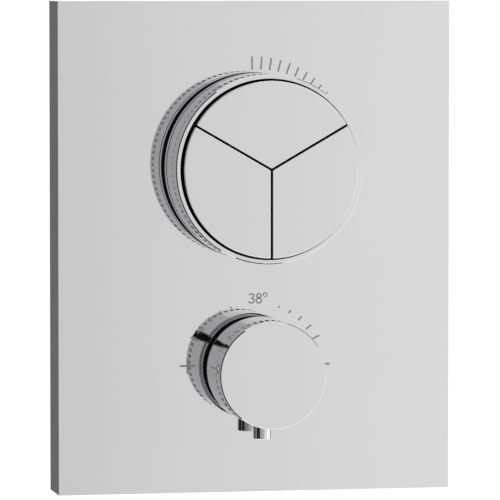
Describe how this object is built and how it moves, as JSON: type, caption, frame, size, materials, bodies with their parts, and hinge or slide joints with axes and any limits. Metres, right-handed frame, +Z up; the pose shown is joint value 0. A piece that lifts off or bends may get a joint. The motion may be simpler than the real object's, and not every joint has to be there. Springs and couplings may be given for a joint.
{
  "type": "thermostatic shower valve",
  "caption": "Concealed thermostatic shower valve: upright chrome plate with a round push-button knob and flow ring above a notched temperature knob, brass valve body in the wall.",
  "frame": {"origin": "on the tiles' surface, behind the middle of the trim plate, at the middle of the carrier's screw holes", "axes": "+Z up, +X to the right seen from the front, +Y into the wall"},
  "size_m": [0.17, 0.1192, 0.21],
  "materials": {
    "chrome_plate": "polished",
    "chrome_knob": "polished",
    "brass_casting": "as cast, machined seats",
    "brass_turned": "machined",
    "steel_screw": "bright",
    "steel_spring": "bright",
    "zinc_bracket": "zinc plated",
    "black_rubber": "matte",
    "white_moulding": "moulded",
    "black_moulding": "moulded",
    "blue_moulding": "moulded",
    "grey_moulding": "moulded",
    "ceramic_disc": "lapped alumina",
    "copper_element": "drawn",
    "strainer_mesh": "perforated"
  },
  "bodies": {
    "valve": {"trim_plate": "chrome_plate", "plate_gasket": "black_rubber", "plate_carrier": "white_moulding", "plate_clips": "steel_spring", "carrier_screws": "steel_screw", "upper_collar": "chrome_knob", "upper_collar_seal": "black_rubber", "upper_collar_nut": "brass_turned", "lower_collar": "chrome_knob", "lower_collar_seal": "black_rubber", "lower_collar_nut": "brass_turned", "ring_bush": "grey_moulding", "button_tower": "brass_turned", "button_guide": "black_moulding", "guide_screws": "steel_screw", "push_cartridges": "brass_turned", "push_cartridge_orings": "black_rubber", "flow_housing": "brass_turned", "flow_disc_fixed": "ceramic_disc", "thermostat_housing": "grey_moulding", "thermostat_orings": "black_rubber", "thermostat_nut": "brass_turned", "thermostat_spring": "steel_spring", "stop_carrier": "white_moulding", "stop_ring": "blue_moulding", "valve_body": "brass_casting", "check_valves": "blue_moulding", "inlet_strainers": "strainer_mesh", "fixing_bracket": "zinc_bracket", "bracket_screws": "steel_screw"},
    "flow_ring": {"flow_ring": "chrome_knob", "ring_gear": "white_moulding", "ring_screws": "steel_screw"},
    "flow_spindle": {"flow_spindle": "brass_turned", "flow_pinion": "white_moulding", "pinion_screw": "steel_screw", "flow_disc_moving": "ceramic_disc"},
    "temperature_knob": {"temperature_knob": "chrome_knob", "knob_insert": "white_moulding", "spindle_extension": "brass_turned", "thermostat_spindle": "brass_turned", "safety_spring": "steel_spring"},
    "safety_button": {"safety_button": "chrome_knob"},
    "thermostat_shuttle": {"thermostat_shuttle": "black_moulding", "wax_element": "copper_element"},
    "button_top": {"button_top": "chrome_knob", "push_rod_top": "steel_spring", "rod_clip_top": "steel_spring"},
    "button_left": {"button_left": "chrome_knob", "push_rod_left": "steel_spring", "rod_clip_left": "steel_spring"},
    "button_right": {"button_right": "chrome_knob", "push_rod_right": "steel_spring", "rod_clip_right": "steel_spring"}
  },
  "joints": [
    {"name": "temperature_turn", "type": "hinge", "parent": "valve", "child": "temperature_knob", "pos_m": [0, -0.05, -0.0518], "axis": [0, 1, 0], "range_deg": [-90, 90]},
    {"name": "safety_press", "type": "slide", "parent": "temperature_knob", "child": "safety_button", "axis": [0, 0, 1], "range_m": [0, 0.003], "stiffness_N_per_m": 300, "springref_m": -0.003, "deforming": ["safety_spring"]},
    {"name": "shuttle_slide", "type": "slide", "parent": "valve", "child": "thermostat_shuttle", "axis": [0, 1, 0], "range_m": [-0.00151, 0.00151], "deforming": ["thermostat_spring"]},
    {"name": "flow_turn", "type": "hinge", "parent": "valve", "child": "flow_ring", "pos_m": [0, -0.03, 0.0345], "axis": [0, 1, 0], "range_deg": [0, 50]},
    {"name": "flow_spindle_turn", "type": "hinge", "parent": "valve", "child": "flow_spindle", "pos_m": [0, 0, -0.0075], "axis": [0, 1, 0], "range_deg": [-90.1, 0]},
    {"name": "press_top", "type": "slide", "parent": "valve", "child": "button_top", "axis": [0, 1, 0], "range_m": [0, 0.004], "stiffness_N_per_m": 400, "springref_m": -0.004},
    {"name": "press_left", "type": "slide", "parent": "valve", "child": "button_left", "axis": [0, 1, 0], "range_m": [0, 0.004], "stiffness_N_per_m": 400, "springref_m": -0.004},
    {"name": "press_right", "type": "slide", "parent": "valve", "child": "button_right", "axis": [0, 1, 0], "range_m": [0, 0.004], "stiffness_N_per_m": 400, "springref_m": -0.004}
  ],
  "couplings": [
    {"joint": "flow_spindle_turn", "follows": "flow_turn", "ratio": -1.8},
    {"joint": "shuttle_slide", "follows": "temperature_turn", "m_per_rad": 0.00095493}
  ]
}
